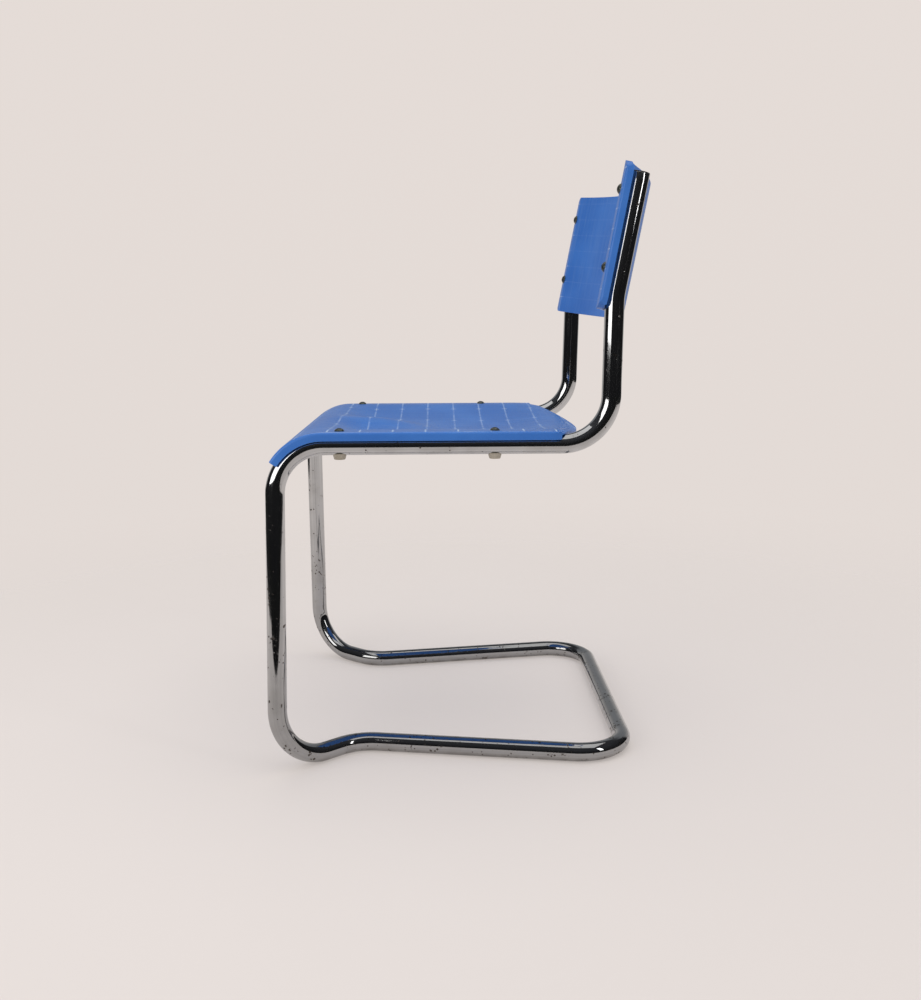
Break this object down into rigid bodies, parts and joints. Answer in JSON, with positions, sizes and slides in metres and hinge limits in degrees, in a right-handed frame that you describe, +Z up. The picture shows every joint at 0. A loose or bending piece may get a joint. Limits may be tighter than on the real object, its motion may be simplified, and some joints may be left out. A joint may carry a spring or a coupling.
{
  "type": "cantilever chair",
  "caption": "Cantilever dining chair: one bent chromed tube from back to floor loop, with a hollowed moulded blue seat and a curved blue back bolted to it.",
  "frame": {"origin": "on the floor, at the middle of the chair's outline in plan", "axes": "+Z up, -Y to the front where the sitter's legs go, +Y to the back, +X to the sitter's left; the chair is mirror symmetric about X = 0"},
  "size_m": [0.5348, 0.5265, 0.7808],
  "materials": {
    "chrome_tube": "polished",
    "blue_shell": "satin, lightly worn",
    "bolt_steel": "dark burnished",
    "cream_plastic": "moulded",
    "insert_steel": "zinc plated",
    "black_plastic": "moulded"
  },
  "bodies": {
    "root": {"back_panel": "blue_shell", "back_rivet_nut_lower_left": "insert_steel", "back_rivet_nut_lower_right": "insert_steel", "back_rivet_nut_upper_left": "insert_steel", "back_rivet_nut_upper_right": "insert_steel", "back_screw_lower_left": "bolt_steel", "back_screw_lower_right": "bolt_steel", "back_screw_upper_left": "bolt_steel", "back_screw_upper_right": "bolt_steel", "end_plug_left": "black_plastic", "end_plug_right": "black_plastic", "frame_tube": "chrome_tube", "seat_bolt_front_left": "bolt_steel", "seat_bolt_front_right": "bolt_steel", "seat_bolt_rear_left": "bolt_steel", "seat_bolt_rear_right": "bolt_steel", "seat_cap_nut_front_left": "cream_plastic", "seat_cap_nut_front_right": "cream_plastic", "seat_cap_nut_rear_left": "cream_plastic", "seat_cap_nut_rear_right": "cream_plastic", "seat_panel": "blue_shell"}
  },
  "joints": []
}
